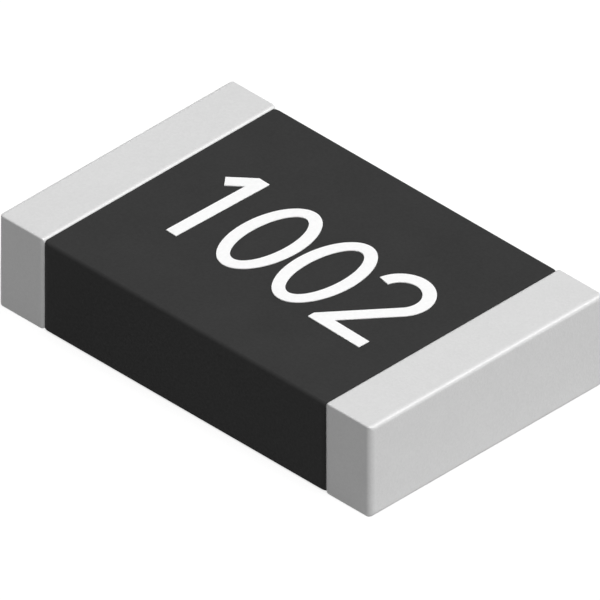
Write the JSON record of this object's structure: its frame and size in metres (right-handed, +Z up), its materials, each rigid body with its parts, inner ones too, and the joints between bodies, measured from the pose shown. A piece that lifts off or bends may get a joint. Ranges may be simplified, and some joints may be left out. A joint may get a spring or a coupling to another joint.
{
  "type": "smd chip resistor",
  "caption": "Thick-film chip resistor for surface mounting: a flat ceramic chip with a black coated resistive film, printed value digits and a tin-plated solder cap on each end.",
  "frame": {"origin": "middle of the footprint, on the plane that the two caps stand on", "axes": "+X from the left cap to the right cap, along the chip; +Y across the chip, towards the tops of the printed digits; +Z up, out of the marked face"},
  "size_m": [0.002, 0.0012, 0.0004],
  "materials": {
    "alumina": "matte",
    "printed_silver": "matte",
    "resistive_ink": "matte",
    "cover_glass": "gloss",
    "black_coat": "matte",
    "white_ink": "matte",
    "dipped_silver": "matte",
    "nickel": "satin",
    "matte_tin": "satin"
  },
  "bodies": {
    "root": {"ceramic_substrate": "alumina", "top_electrode_left": "printed_silver", "top_electrode_right": "printed_silver", "bottom_electrode_left": "printed_silver", "bottom_electrode_right": "printed_silver", "resistive_film": "resistive_ink", "glass_coat": "cover_glass", "protective_coat": "black_coat", "marking": "white_ink", "end_electrode_left": "dipped_silver", "end_electrode_right": "dipped_silver", "nickel_barrier_left": "nickel", "nickel_barrier_right": "nickel", "tin_plating_left": "matte_tin", "tin_plating_right": "matte_tin"}
  },
  "joints": []
}
